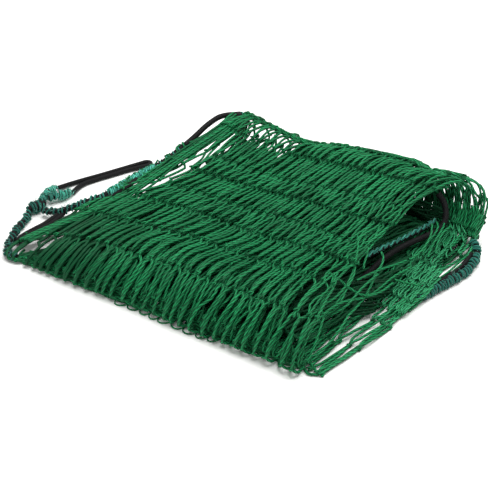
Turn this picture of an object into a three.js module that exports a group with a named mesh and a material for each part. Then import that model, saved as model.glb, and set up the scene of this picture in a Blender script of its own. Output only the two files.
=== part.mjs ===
// Folded trailer net: a knotted net lying in back-and-forth layers, with the corded border that is
// lashed along its edges, the elastic cord in that border, and a free elastic loop for hooking it on.
// Millimetres, +Z up. X runs along the front fold, Y from the front fold to the back fold, and the
// origin is on the floor under the middle of the pack.

import * as THREE from 'three';

// Driving dimensions
const sheetThickness = 2.2;
const knotLift = 0.9;
const knotWidth = 5.4;
const knotLength = 9;
const gapsAcross = 16;
const knotRows = 9;
const plainColumns = 8;
const twineBend = 24;
const borderBend = 11;
const borderCordRadius = 3.4;
const elasticRadius = 2.2;
const wrapHeight = 0.7;
const wrapPitch = 9;
const cordSides = 8;
const packMiddle = { x: -9, y: -2 };

const floorLevel = sheetThickness / 2;

// Colours and finishes
const netGreen = { color: 0x0b6b3c, roughness: 0.55, metalness: 0 };
const lashingTeal = { color: 0x1f8f78, roughness: 0.6, metalness: 0 };
const elasticBlack = { color: 0x17161a, roughness: 0.7, metalness: 0 };

// The outer turn of the net, a row for each station along it: back over the floor, round the back
// fold, forward over the top and round the front fold. left and right are the borders in X, yLeft
// and yRight their places in Y, and the heights are those at four lines evenly spread across it.
const lying = { zLeft: floorLevel, zNearLeft: floorLevel, zNearRight: floorLevel, zRight: floorLevel };
const outerStations = [
  { left: -130, right: 146, yLeft: -100, yRight: -111, ...lying },
  { left: -124, right: 160, yLeft: -58, yRight: -61, ...lying },
  { left: -118, right: 164, yLeft: -10, yRight: -10, ...lying },
  { left: -110, right: 166, yLeft: 45, yRight: 45, ...lying },
  { left: -104, right: 168, yLeft: 92, yRight: 92, ...lying },
  { left: -100, right: 163, yLeft: 120, yRight: 121, zLeft: 5, zNearLeft: 4, zNearRight: 4, zRight: 5 },
  { left: -97, right: 164, yLeft: 135, yRight: 136, zLeft: 26, zNearLeft: 22, zNearRight: 26, zRight: 27 },
  { left: -93, right: 160, yLeft: 131, yRight: 132, zLeft: 48, zNearLeft: 43, zNearRight: 51, zRight: 50 },
  { left: -91, right: 141, yLeft: 114, yRight: 114, zLeft: 54, zNearLeft: 51, zNearRight: 60, zRight: 59 },
  { left: -94, right: 128, yLeft: 90, yRight: 90, zLeft: 50, zNearLeft: 46, zNearRight: 54, zRight: 56 },
  { left: -106, right: 120, yLeft: 34, yRight: 34, zLeft: 36, zNearLeft: 37, zNearRight: 42, zRight: 48 },
  { left: -117, right: 122, yLeft: -27, yRight: -27, zLeft: 24, zNearLeft: 31, zNearRight: 37, zRight: 44 },
  { left: -150, right: 134, yLeft: -91, yRight: -87, zLeft: 9, zNearLeft: 33, zNearRight: 40, zRight: 42 },
  { left: -156, right: 137, yLeft: -122, yRight: -110, zLeft: 8, zNearLeft: 27, zNearRight: 33, zRight: 35 },
  { left: -154, right: 137, yLeft: -136, yRight: -121, zLeft: 6, zNearLeft: 14, zNearRight: 18, zRight: 20 },
  { left: -148, right: 135, yLeft: -136, yRight: -121, zLeft: 3.2, zNearLeft: 4, zNearRight: 5, zRight: 6 },
  { left: -140, right: 133, yLeft: -120, yRight: -110, zLeft: 3.8, zNearLeft: 4, zNearRight: 4, zRight: 4 },
];

// The layers folded inside, from the floor up, each running the other way to the one below it.
// zFront, zMiddle and zBack are its heights, front and back where its folds start.
const innerLayers = [
  { zFront: 5.4, zMiddle: 5, zBack: 5, front: -94, back: 102, leftFront: -126, leftBack: -98,
    rightFront: 128, rightBack: 158 },
  { zFront: 10, zMiddle: 9.2, zBack: 9, front: -94, back: 102, leftFront: -112, leftBack: -96,
    rightFront: 122, rightBack: 150 },
  { zFront: 15.6, zMiddle: 14.4, zBack: 14, front: -94, back: 95, leftFront: -98, leftBack: -94,
    rightFront: 110, rightBack: 142 },
  { zFront: 20.8, zMiddle: 18.6, zBack: 18.2, front: -89, back: 95, leftFront: -84, leftBack: -92,
    rightFront: 84, rightBack: 127 },
  { zFront: 25.6, zMiddle: 22.8, zBack: 22, front: -89, back: 90, leftFront: -55, leftBack: -90,
    rightFront: 79, rightBack: 123.5 },
];

// Routes of the cords, x, y, z for each point
const borderTipRoute = [
  [-147, -142.6, 4.2], [-157, -140.6, 4.2], [-164.5, -131, 4.2], [-169.5, -117, 4.2],
  [-174, -104, 4.2], [-178, -93, 4.2], [-181.5, -83, 4.3], [-184.8, -75.8, 4.8],
];
const borderTopRoute = [
  [-178, -62, 6.4], [-168, -57.5, 8], [-157, -53, 11], [-145.6, -48, 15], [-134.5, -39, 20],
  [-127.5, -26, 24.5], [-124.5, -9, 28], [-121.5, 8, 31], [-117.6, 22, 34], [-113.2, 37, 37.5],
  [-108.8, 53, 41.5],
];
const elasticBackRoute = [
  [-108.8, 53.8, 41.7], [-107.6, 62, 43.8], [-106.6, 71, 46.2], [-106, 81, 49.2], [-105.6, 91, 52.4],
  [-103.4, 102, 55.6], [-99.6, 111, 56.6], [-97.6, 119, 55.6], [-99, 126.2, 51.8],
];
const borderBackRoute = [
  [-99.4, 127.1, 51.1], [-101.8, 134.6, 42.8], [-103.4, 139.4, 30], [-104.6, 136.4, 16], [-107, 126, 7],
  [-110.4, 110, 4.2], [-114, 82, 4.2], [-117.6, 45, 4.2], [-124.6, -8, 4.2], [-130.6, -58, 4.2],
  [-136.1, -98, 4.2],
];
const borderRightRoute = [
  [171.4, 14, 4.2], [172.4, 32, 4.2], [173.9, 49, 4.2], [175.8, 66, 4.2], [176.2, 82, 4.4],
  [174.4, 96, 5.4], [171.4, 108, 8.2], [169.8, 116, 13],
];
const borderInnerRoute = [
  [111, 16, 23.9], [114.5, 32, 23.3], [118.7, 48, 22.9], [122.9, 66, 22.7], [126.9, 83, 22.6],
  [129.5, 99, 22.9],
];
const elasticLeftRoute = [
  [-159.2, -115, 4.4], [-159, -104, 4.8], [-156, -92, 6], [-154.6, -81, 6.2], [-155.4, -71, 6.4],
  [-157.6, -61.5, 6.2],
];
const elasticInnerRoute = [
  [121.8, 4, 18.2], [123.8, 24, 18], [126.9, 43, 17.9], [131.5, 61, 17.9], [137, 79, 18],
  [140.9, 92, 20.3], [142.6, 99.5, 26], [140.8, 104, 33], [136.5, 107, 40], [129, 107.5, 46],
];
const elasticLoopRoute = [
  [-196.3, -26.9, 3.6], [-193.5, -14, 2.6], [-188.5, 0, 2.3], [-182, 15, 2.3], [-176, 30, 2.3],
  [-170, 45, 2.3], [-165.6, 56, 2.3], [-163, 61.5, 2.3], [-158.6, 62.4, 2.3], [-157, 58.4, 2.3],
  [-159.6, 52, 2.3], [-165.4, 40, 2.3], [-171.4, 25, 2.3], [-177.4, 10, 2.3], [-181.4, -4, 2.5],
  [-181.4, -15, 2.8], [-179.6, -24.4, 3.4],
];

// A station that is straight across and level
function levelStation(left, right, y, z) {
  return { left, right, yLeft: y, yRight: y, zLeft: z, zNearLeft: z, zNearRight: z, zRight: z };
}

// Stations of one inner layer, in the order in which the sheet runs through it
function layerStations(layer, runsBack) {
  const front = levelStation(layer.leftFront, layer.rightFront, layer.front, layer.zFront);
  const back = levelStation(layer.leftBack, layer.rightBack, layer.back, layer.zBack);
  const middle = levelStation(
    (front.left + back.left) / 2,
    (front.right + back.right) / 2,
    (layer.front + layer.back) / 2,
    layer.zMiddle,
  );
  return runsBack ? [front, middle, back] : [back, middle, front];
}

// The station at the crown of the fold between two layers
function foldStation(lower, upper, runsBack) {
  const lowerEnd = layerStations(lower, runsBack).at(-1);
  const upperEnd = layerStations(upper, !runsBack)[0];
  const radius = (upperEnd.zLeft - lowerEnd.zLeft) / 2;
  return levelStation(
    (lowerEnd.left + upperEnd.left) / 2,
    (lowerEnd.right + upperEnd.right) / 2,
    lowerEnd.yLeft + (runsBack ? radius : -radius),
    lowerEnd.zLeft + radius,
  );
}

function innerStations() {
  const rows = [];
  innerLayers.forEach((layer, index) => {
    const runsBack = index % 2 === 0;
    const next = innerLayers[index + 1];
    rows.push(...layerStations(layer, runsBack));
    if (next) rows.push(foldStation(layer, next, runsBack));
  });
  return rows;
}

const stations = [...outerStations, ...innerStations()];
const lastStation = stations.length - 1;

// Four lines along the sheet, evenly spread from its left border to its right one
const lineHeights = ['zLeft', 'zNearLeft', 'zNearRight', 'zRight'];
const guideLines = lineHeights.map((height, index) => {
  const share = index / (lineHeights.length - 1);
  const points = stations.map((row) => new THREE.Vector3(
    THREE.MathUtils.lerp(row.left, row.right, share),
    THREE.MathUtils.lerp(row.yLeft, row.yRight, share),
    row[height],
  ));
  const line = new THREE.CatmullRomCurve3(points, false, 'centripetal');
  line.arcLengthDivisions = 2400;
  return line;
});
const lengthLine = guideLines[1];

// Shares of the four lines in a point, on the cubic through them
function lineShares(across) {
  const a = across;
  return [
    -4.5 * (a - 1 / 3) * (a - 2 / 3) * (a - 1),
    13.5 * a * (a - 2 / 3) * (a - 1),
    -13.5 * a * (a - 1 / 3) * (a - 1),
    4.5 * a * (a - 1 / 3) * (a - 2 / 3),
  ];
}

// A point of the sheet's middle surface: across goes from 0 at the left border to 1 at the right
// one, and station counts the rows of the tables.
function sheetPoint(across, station) {
  const t = THREE.MathUtils.clamp(station / lastStation, 0, 1);
  const point = new THREE.Vector3();
  lineShares(across).forEach((share, i) => point.addScaledVector(guideLines[i].getPoint(t), share));
  point.z = Math.max(point.z, floorLevel);
  return point;
}

function sheetNormal(across, station) {
  const stepAcross = 0.01;
  const stepAlong = 0.02;
  const alongX = sheetPoint(across + stepAcross, station).sub(sheetPoint(across - stepAcross, station));
  const before = sheetPoint(across, Math.max(station - stepAlong, 0));
  const after = sheetPoint(across, Math.min(station + stepAlong, lastStation));
  return alongX.cross(after.sub(before)).normalize();
}

// Plan of the sheet as points (across, station) and triangles between them. Each point has an upper
// and a lower vertex, half the thickness off the middle surface.
class SheetPlan {
  constructor() {
    this.vertices = [];
    this.triangles = [];
    this.acrossOf = [];
  }

  point(across, station, lift = 0) {
    const middle = sheetPoint(across, station);
    const offset = sheetNormal(across, station).multiplyScalar(sheetThickness / 2 + lift);
    const upper = middle.clone().add(offset);
    const lower = middle.clone().sub(offset);
    lower.z = Math.max(lower.z, 0);
    upper.z = Math.max(upper.z, 0);
    this.vertices.push(upper, lower);
    this.acrossOf.push(across);
    return this.acrossOf.length - 1;
  }

  face(...corners) {
    for (let i = 1; i + 1 < corners.length; i += 1) {
      this.triangles.push([corners[0], corners[i], corners[i + 1]]);
    }
  }

  // Fills between two rows of points that both run from left to right
  zip(near, far) {
    let i = 0;
    let j = 0;
    while (i + 1 < near.length || j + 1 < far.length) {
      const nearNext = i + 1 < near.length ? this.acrossOf[near[i + 1]] : Infinity;
      const farNext = j + 1 < far.length ? this.acrossOf[far[j + 1]] : Infinity;
      if (nearNext <= farNext) {
        this.face(near[i], near[i + 1], far[j]);
        i += 1;
      } else {
        this.face(near[i], far[j + 1], far[j]);
        j += 1;
      }
    }
  }

  geometry() {
    const upper = (k) => 2 * k;
    const lower = (k) => 2 * k + 1;
    const edges = new Set();
    const index = [];
    for (const [a, b, c] of this.triangles) {
      index.push(upper(a), upper(b), upper(c), lower(a), lower(c), lower(b));
      edges.add(`${a},${b}`).add(`${b},${c}`).add(`${c},${a}`);
    }
    for (const edge of edges) {
      const [a, b] = edge.split(',').map(Number);
      if (edges.has(`${b},${a}`)) continue;
      index.push(upper(a), lower(a), lower(b), upper(a), lower(b), upper(b));
    }
    const geometry = new THREE.BufferGeometry().setFromPoints(this.vertices);
    geometry.setIndex(index);
    geometry.computeVertexNormals();
    return geometry;
  }
}

// Length along the sheet at which the outer turn of the net ends
const outerLength = (() => {
  const lengths = lengthLine.getLengths();
  const share = (outerStations.length - 1) / lastStation;
  return lengths[Math.round(share * (lengths.length - 1))];
})();

function stationAt(along) {
  return lengthLine.getUtoTmapping(along / lengthLine.getLength()) * lastStation;
}

// Small shifts that keep the knot rows from being ruled lines
function wander(row, column) {
  const shareOfGap = 0.16;
  const wave = 3.2;
  const ripple = 1.6;
  return {
    across: shareOfGap * Math.sin(2.3 * row + 1.7 * column) / gapsAcross,
    along: wave * Math.sin(0.55 * column + 1.9 * row) + ripple * Math.sin(1.37 * column - row),
  };
}

// A corner of a knot or strip: its place on the sheet and its point in the plan
function corner(plan, across, along) {
  return { across, along, index: plan.point(across, stationAt(along)) };
}

// Along the sheet, the rows of knots stand evenly between its front end and the front fold
function rowAlong(row) {
  return knotLength / 2 + (outerLength - knotLength) * row / knotRows;
}

function halfKnot(along) {
  const station = stationAt(along);
  return knotWidth / 2 / sheetPoint(0, station).distanceTo(sheetPoint(1, station));
}

// One knot with its four corners, left, lower, right and upper, and a raised centre
function addKnot(plan, row, column) {
  const shift = wander(row, column);
  const staggered = row % 2 === 1;
  const atBorder = column === 0 || column === (staggered ? gapsAcross - 1 : gapsAcross);
  const atEnd = row === 0 || row === knotRows;
  const across = (column + (staggered ? 0.5 : 0)) / gapsAcross + (atBorder || atEnd ? 0 : shift.across);
  const along = rowAlong(row) + (atEnd ? 0 : shift.along);
  const half = halfKnot(along);
  const knot = {
    across,
    along,
    left: corner(plan, across - half, along),
    right: corner(plan, across + half, along),
    lower: corner(plan, across, along - knotLength / 2),
  };
  if (row === knotRows) {
    plan.face(knot.lower.index, knot.right.index, knot.left.index);
    return knot;
  }
  knot.upper = corner(plan, across, along + knotLength / 2);
  const station = stationAt(along);
  const resting = sheetPoint(across, station).z < floorLevel + knotLift;
  const centre = plan.point(across, station, resting ? 0 : knotLift);
  const rim = [knot.left, knot.lower, knot.right, knot.upper];
  rim.forEach((from, i) => plan.face(centre, from.index, rim[(i + 1) % rim.length].index));
  return knot;
}

// Where a border twine runs into the uncut layers
function borderEnd(plan, onLeft) {
  const along = rowAlong(knotRows);
  const width = halfKnot(along);
  return {
    across: onLeft ? 0 : 1,
    along,
    left: corner(plan, onLeft ? 0 : 1 - width, along),
    right: corner(plan, onLeft ? width : 1, along),
  };
}

// Number of straight pieces that a twine needs to follow the sheet from one knot to the next
function twineSteps(from, to, bendPerStep) {
  const samples = 12;
  const anglePerStep = THREE.MathUtils.degToRad(bendPerStep);
  const longestStep = 34;
  let turn = 0;
  let previous = null;
  for (let i = 0; i <= samples; i += 1) {
    const across = THREE.MathUtils.lerp(from.across, to.across, i / samples);
    const along = THREE.MathUtils.lerp(from.along, to.along, i / samples);
    const normal = sheetNormal(across, stationAt(along));
    if (previous) turn += previous.angleTo(normal);
    previous = normal;
  }
  return Math.max(Math.ceil(turn / anglePerStep), Math.ceil((to.along - from.along) / longestStep));
}

// A twine as a strip between the corners that it leaves and the corners that it meets
function addStrip(plan, steps, [startLeft, startRight], [endLeft, endRight]) {
  const between = (start, end, share) => corner(
    plan,
    THREE.MathUtils.lerp(start.across, end.across, share),
    THREE.MathUtils.lerp(start.along, end.along, share),
  );
  let left = startLeft;
  let right = startRight;
  for (let step = 1; step <= steps; step += 1) {
    const last = step === steps;
    const nextLeft = last ? endLeft : between(startLeft, endLeft, step / steps);
    const nextRight = last ? endRight : between(startRight, endRight, step / steps);
    plan.face(left.index, right.index, nextRight.index, nextLeft.index);
    left = nextLeft;
    right = nextRight;
  }
}

function addTwine(plan, from, to) {
  const steps = twineSteps(from, to, twineBend);
  if (to.across > from.across) {
    addStrip(plan, steps, [from.upper, from.right], [to.left, to.lower]);
  } else {
    addStrip(plan, steps, [from.left, from.upper], [to.lower, to.right]);
  }
}

// The twine along a border, from one border knot to the next
function addBorderTwine(plan, from, to, onLeft) {
  const steps = twineSteps(from, to, borderBend);
  const start = onLeft ? [from.left, from.upper] : [from.upper, from.right];
  const intoLayers = [to.left, to.right];
  const intoKnot = onLeft ? [to.left, to.lower] : [to.lower, to.right];
  addStrip(plan, steps, start, to.lower ? intoKnot : intoLayers);
}

// The open outer turn: rows of knots, each half a gap out of step with the next. Returns what its
// last row offers the layers inside, from left to right.
function addOpenNet(plan) {
  const rows = [];
  for (let row = 0; row <= knotRows; row += 1) {
    const count = row % 2 === 0 ? gapsAcross + 1 : gapsAcross;
    rows.push(Array.from({ length: count }, (_, column) => addKnot(plan, row, column)));
  }
  for (let row = 0; row < knotRows; row += 1) {
    const staggered = row % 2 === 1;
    rows[row].forEach((knot, column) => {
      const targets = staggered ? [column, column + 1] : [column - 1, column];
      for (const target of targets) {
        if (rows[row + 1][target]) addTwine(plan, knot, rows[row + 1][target]);
      }
    });
  }
  const ends = { left: borderEnd(plan, true), right: borderEnd(plan, false) };
  for (let row = 0; row < knotRows; row += 2) {
    const above = rows[row + 2] ?? [];
    addBorderTwine(plan, rows[row][0], above[0] ?? ends.left, true);
    addBorderTwine(plan, rows[row][gapsAcross], above[gapsAcross] ?? ends.right, false);
  }
  return [ends.left, ...rows[knotRows], ends.right];
}

// The layers inside, uncut, from the last knot row to the free end
function addInnerLayers(plan, ends) {
  let near = ends.flatMap((end) => [end.left.index, end.right.index]);
  const stationStep = 0.5;
  for (let station = outerStations.length - stationStep; station <= lastStation; station += stationStep) {
    const far = [];
    for (let column = 0; column <= plainColumns; column += 1) {
      far.push(plan.point(column / plainColumns, station));
    }
    plan.zip(near, far);
    near = far;
  }
}

function foldedNet() {
  const plan = new SheetPlan();
  addInnerLayers(plan, addOpenNet(plan));
  return plan.geometry();
}

// A round cord along a route, its section kept round by a ring of sides
function cordGeometry(route, radius, steps) {
  const path = new THREE.CatmullRomCurve3(route.map((p) => new THREE.Vector3(...p)), false, 'centripetal');
  const ring = Array.from({ length: cordSides }, (_, i) => {
    const angle = 2 * Math.PI * i / cordSides;
    return new THREE.Vector2(radius * Math.cos(angle), radius * Math.sin(angle));
  });
  const geometry = new THREE.ExtrudeGeometry(new THREE.Shape(ring), {
    extrudePath: path, steps, bevelEnabled: false,
  });
  return { geometry, path, steps };
}

// Raises the turns of lashing twine that are wound round a border cord
function raiseWraps({ geometry, path, steps }) {
  const frames = path.computeFrenetFrames(steps, false);
  const centres = path.getSpacedPoints(steps);
  const length = path.getLength();
  const position = geometry.getAttribute('position');
  const vertex = new THREE.Vector3();
  for (let i = 0; i < position.count; i += 1) {
    vertex.fromBufferAttribute(position, i);
    let nearest = 0;
    for (let k = 1; k <= steps; k += 1) {
      if (vertex.distanceTo(centres[k]) < vertex.distanceTo(centres[nearest])) nearest = k;
    }
    const outward = vertex.clone().sub(centres[nearest]);
    const angle = Math.atan2(outward.dot(frames.binormals[nearest]), outward.dot(frames.normals[nearest]));
    const turn = 2 * Math.PI * (nearest / steps) * length / wrapPitch;
    const lift = wrapHeight * Math.max(0, Math.cos(turn - angle));
    vertex.addScaledVector(outward.normalize(), lift);
    position.setXYZ(i, vertex.x, vertex.y, vertex.z);
  }
  return geometry;
}

// A lashing: a barrel of teal twine turns, ribbed along its length
function lashingGeometry(length, radius, turns) {
  const rib = 0.45;
  const endShare = 0.72;
  const sides = 12;
  const profile = [new THREE.Vector2(0, -length / 2)];
  const rows = turns * 2;
  for (let i = 0; i <= rows; i += 1) {
    const share = i / rows;
    const belly = THREE.MathUtils.lerp(endShare, 1, Math.sin(Math.PI * share));
    profile.push(new THREE.Vector2(radius * belly + (i % 2 ? rib : 0), length * (share - 0.5)));
  }
  profile.push(new THREE.Vector2(0, length / 2));
  return new THREE.LatheGeometry(profile, sides);
}

function addMesh(group, name, geometry, finish) {
  const mesh = new THREE.Mesh(geometry, new THREE.MeshStandardMaterial(finish));
  mesh.name = name;
  group.add(mesh);
  return mesh;
}

// Turns a lashing so that its axis runs from one point to another, midway between them
function layBetween(mesh, from, to) {
  const start = new THREE.Vector3(...from);
  const end = new THREE.Vector3(...to);
  const up = new THREE.Vector3(0, 1, 0);
  mesh.position.copy(start).lerp(end, 0.5);
  mesh.quaternion.setFromUnitVectors(up, end.sub(start).normalize());
}

const pack = new THREE.Group();
pack.position.set(-packMiddle.x, -packMiddle.y, 0);

addMesh(pack, 'net', foldedNet(), netGreen);

const borderCords = [
  { name: 'border_cord_tip', route: borderTipRoute, steps: 40 },
  { name: 'border_cord_top', route: borderTopRoute, steps: 72 },
  { name: 'border_cord_right', route: borderRightRoute, steps: 46 },
  { name: 'border_cord_inner', route: borderInnerRoute, steps: 40 },
];
for (const { name, route, steps } of borderCords) {
  addMesh(pack, name, raiseWraps(cordGeometry(route, borderCordRadius, steps)), lashingTeal);
}

const backCordSteps = 44;
const backCord = cordGeometry(borderBackRoute, borderCordRadius, backCordSteps);
addMesh(pack, 'border_cord_back', backCord.geometry, lashingTeal);

const elasticCords = [
  { name: 'elastic_left', route: elasticLeftRoute, steps: 12 },
  { name: 'elastic_back', route: elasticBackRoute, steps: 18 },
  { name: 'elastic_inner', route: elasticInnerRoute, steps: 26 },
  { name: 'elastic_loop', route: elasticLoopRoute, steps: 56 },
];
for (const { name, route, steps } of elasticCords) {
  addMesh(pack, name, cordGeometry(route, elasticRadius, steps).geometry, elasticBlack);
}

const lashings = [
  { name: 'lashing_outer', from: [-188.4, -55.2, 5.6], to: [-196.2, -28.2, 4.8], radius: 4.4, turns: 6 },
  { name: 'lashing_inner', from: [-181.2, -56, 5.6], to: [-179.5, -25.3, 4.8], radius: 4.4, turns: 6 },
  { name: 'corner_knot', from: [-187, -74, 6.4], to: [-184.6, -56.4, 6.4], radius: 5.8, turns: 4 },
];
for (const { name, from, to, radius, turns } of lashings) {
  const length = new THREE.Vector3(...from).distanceTo(new THREE.Vector3(...to));
  layBetween(addMesh(pack, name, lashingGeometry(length, radius, turns), lashingTeal), from, to);
}

export default pack;
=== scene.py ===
import math
import bpy
import numpy as np
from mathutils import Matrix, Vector


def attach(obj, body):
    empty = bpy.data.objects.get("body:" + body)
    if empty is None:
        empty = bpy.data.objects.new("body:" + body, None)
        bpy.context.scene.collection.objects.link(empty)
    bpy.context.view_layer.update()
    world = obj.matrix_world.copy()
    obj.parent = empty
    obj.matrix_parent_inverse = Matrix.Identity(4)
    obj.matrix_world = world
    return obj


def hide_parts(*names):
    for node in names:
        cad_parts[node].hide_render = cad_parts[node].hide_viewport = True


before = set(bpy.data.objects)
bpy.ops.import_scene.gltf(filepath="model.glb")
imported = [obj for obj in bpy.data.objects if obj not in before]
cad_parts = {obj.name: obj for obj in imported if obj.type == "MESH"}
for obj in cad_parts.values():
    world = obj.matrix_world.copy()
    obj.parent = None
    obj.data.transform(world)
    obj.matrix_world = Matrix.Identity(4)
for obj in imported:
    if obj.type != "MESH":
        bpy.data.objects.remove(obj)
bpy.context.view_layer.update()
chance = np.random.default_rng(41)
mm = 0.001
packShift = np.array([9.0, 2.0, 0.0])  # from the folding layout to the part's frame, mm


# camera, floor and light

viewSettings = {
    "azimuth": 36.0,
    "elevation": 33.0,
    "distance": 1.0,
    "lens": 88.0,
    "target": (0.024, -0.021, 0.020),
    "floorSize": 6.0,
    "floorLevel": -0.0002,  # just clear of the part
    "floorPaper": "#F6F6F4",
    "keyPlace": (0.1, 0.28, 1.4),
    "keySize": 1.5,
    "keyPower": 35.5,
    "fillPlace": (0.1, -1.3, 0.4),
    "fillSize": 0.6,
    "fillPower": 4.0,
    "skyStrength": 0.32,
}


def hexColour(code):  # sRGB hex to linear, with alpha
    parts = [int(code[i:i + 2], 16) / 255 for i in (1, 3, 5)]
    return [p / 12.92 if p <= 0.04045 else ((p + 0.055) / 1.055) ** 2.4 for p in parts] + [1.0]


def setInputs(tree, node, inputs):  # links sockets, sets plain values
    for socket, value in inputs.items():
        if isinstance(value, bpy.types.NodeSocket):
            tree.links.new(value, node.inputs[socket])
        else:
            node.inputs[socket].default_value = value


def addNode(tree, kind, inputs=None, **settings):
    node = tree.nodes.new(kind)
    for key, value in settings.items():
        setattr(node, key, value)
    setInputs(tree, node, inputs or {})
    return node


def newMaterial(name):
    material = bpy.data.materials.new(name)
    material.use_nodes = True
    shader = material.node_tree.nodes["Principled BSDF"]
    return material, material.node_tree, shader


def aimAt(thing, target):
    thing.rotation_mode = "QUATERNION"
    thing.rotation_quaternion = (Vector(target) - thing.location).to_track_quat("-Z", "Y")


def setStage(s):
    a, e = math.radians(s["azimuth"]), math.radians(s["elevation"])
    back = Vector((math.sin(a) * math.cos(e), -math.cos(a) * math.cos(e), math.sin(e)))
    bpy.ops.object.camera_add(location=Vector(s["target"]) + back * s["distance"])
    camera = bpy.context.object
    camera.data.lens = s["lens"]
    camera.data.sensor_width = 36.0
    aimAt(camera, s["target"])
    bpy.context.scene.camera = camera
    for kind in ("key", "fill"):
        bpy.ops.object.light_add(type="AREA", location=s[kind + "Place"])
        light = bpy.context.object
        light.name = kind + "Light"
        light.data.energy = s[kind + "Power"]
        light.data.size = s[kind + "Size"]
        aimAt(light, s["target"])
    world = bpy.data.worlds.new("studioSky")
    world.use_nodes = True
    sky = world.node_tree
    setInputs(sky, sky.nodes["Background"], {"Color": (1, 1, 1, 1), "Strength": s["skyStrength"]})
    bpy.context.scene.world = world
    bpy.context.scene.view_settings.view_transform = "Standard"  # keeps the twine colours as set
    bpy.ops.mesh.primitive_plane_add(size=s["floorSize"], location=(0, 0, s["floorLevel"]))
    floor = bpy.context.object
    floor.name = "studioFloor"
    paper, tree, shader = newMaterial("matt paper floor")  # dull and pale, takes a soft shadow
    setInputs(tree, shader, {
        "Base Color": hexColour(s["floorPaper"]), "Roughness": 0.9, "Specular IOR Level": 0.1})
    floor.data.materials.append(paper)
    bpy.ops.object.select_all(action="DESELECT")


setStage(viewSettings)
print("camera, floor and light set")


# materials

oneBand = 2 * math.pi / 20  # scale of a wave texture that has one band to each unit of the UV map
toneTop = 2.2               # patches and tone together reach about this
rampStops = {"shade": 0.0, "deep": 0.2, "light": 0.7, "pale": 1.0}
mixFrom, mixTo, mixOut = 6, 7, 2  # colour sockets of a mix node
shaderSockets = {"roughness": "Roughness", "ior": "IOR", "gloss": "Specular IOR Level",
                 "sheen": "Sheen Weight", "sheenSpread": "Sheen Roughness"}


def layBands(tree, lay, direction):  # bands that follow the twist or the braid
    return addNode(tree, "ShaderNodeTexWave", {"Vector": lay.outputs["UV"], "Scale": oneBand},
                   wave_type="BANDS", bands_direction=direction, wave_profile="SIN")


def dress(tree, shader, look, colour, height):  # colour, ridges and the plain values of the shader
    bump = addNode(tree, "ShaderNodeBump", {
        "Height": height, "Strength": look["bump"], "Distance": look["ridge"] * mm})
    setInputs(tree, shader, {"Base Color": colour, "Normal": bump.outputs["Normal"]})
    setInputs(tree, shader, {socket: look[key] for key, socket in shaderSockets.items() if key in look})


def twineMaterial(name, look):
    # twisted plastic twine: small ridges in a spiral with painted shade darker in the grooves between them,
    # a dull sheen
    material, tree, shader = newMaterial(name)
    lay = addNode(tree, "ShaderNodeUVMap", uv_map="lay")
    spiral = layBands(tree, lay, "X")
    place = addNode(tree, "ShaderNodeTexCoord")
    patches = addNode(tree, "ShaderNodeTexNoise", {
        "Vector": place.outputs["Object"], "Scale": 1 / (look["patchSize"] * mm), "Detail": 2.0})
    tone = addNode(tree, "ShaderNodeAttribute", attribute_name="tone")
    mixed = addNode(tree, "ShaderNodeMath", {
        0: patches.outputs["Fac"], 1: tone.outputs["Fac"]}, operation="ADD")
    share = addNode(tree, "ShaderNodeMapRange", {
        "Value": mixed.outputs["Value"], "From Min": 0.0, "From Max": toneTop})
    body = addNode(tree, "ShaderNodeValToRGB", {"Fac": share.outputs["Result"]})
    for key in ("deep", "light"):  # the ramp has its two ends already
        body.color_ramp.elements.new(rampStops[key])
    for stop, key in zip(body.color_ramp.elements, rampStops):
        stop.color = hexColour(look[key])
    groove = addNode(tree, "ShaderNodeMix", {
        "Factor": spiral.outputs["Fac"], mixFrom: hexColour(look["groove"]),
        mixTo: body.outputs["Color"]}, data_type="RGBA")
    dress(tree, shader, look, groove.outputs[mixOut], spiral.outputs["Fac"])
    return material


def braidMaterial(name, look):
    # braided polyester cover over a rubber core: crossing yarns, black, with a painted grey sheen as painted
    # highlight on the crowns
    material, tree, shader = newMaterial(name)
    lay = addNode(tree, "ShaderNodeUVMap", uv_map="lay")
    across, back = layBands(tree, lay, "X"), layBands(tree, lay, "Y")
    crown = addNode(tree, "ShaderNodeMath", {
        0: across.outputs["Fac"], 1: back.outputs["Fac"]}, operation="MULTIPLY")
    body = addNode(tree, "ShaderNodeMix", {
        "Factor": crown.outputs["Value"], mixFrom: hexColour(look["deep"]),
        mixTo: hexColour(look["light"])}, data_type="RGBA")
    dress(tree, shader, look, body.outputs[mixOut], crown.outputs["Value"])
    return material


# patchSize and ridge in mm
greenTwine = twineMaterial("twisted polypropylene twine green", {
    "shade": "#022A15", "deep": "#064928", "light": "#1E9257", "pale": "#3BA66F", "groove": "#053F24",
    "patchSize": 26.0, "bump": 0.5, "ridge": 0.25, "roughness": 0.62, "ior": 1.49, "gloss": 0.17,
    "sheen": 0.0, "sheenSpread": 0.4})
tealTwine = twineMaterial("laid polypropylene lashing teal", {
    "shade": "#083F37", "deep": "#0E5A4E", "light": "#55C8AC", "pale": "#86DCC6", "groove": "#0F5E50",
    "patchSize": 7.0, "bump": 0.7, "ridge": 0.25, "roughness": 0.65, "ior": 1.49, "gloss": 0.25,
    "sheen": 0.2, "sheenSpread": 0.4})
blackElastic = braidMaterial("braided elastic black", {
    "deep": "#030304", "light": "#100F12", "bump": 0.6, "ridge": 0.3, "roughness": 0.6, "gloss": 0.2,
    "sheen": 0.01, "sheenSpread": 0.5})
print("materials made")


# the folded sheet, repeated from the solids

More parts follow.
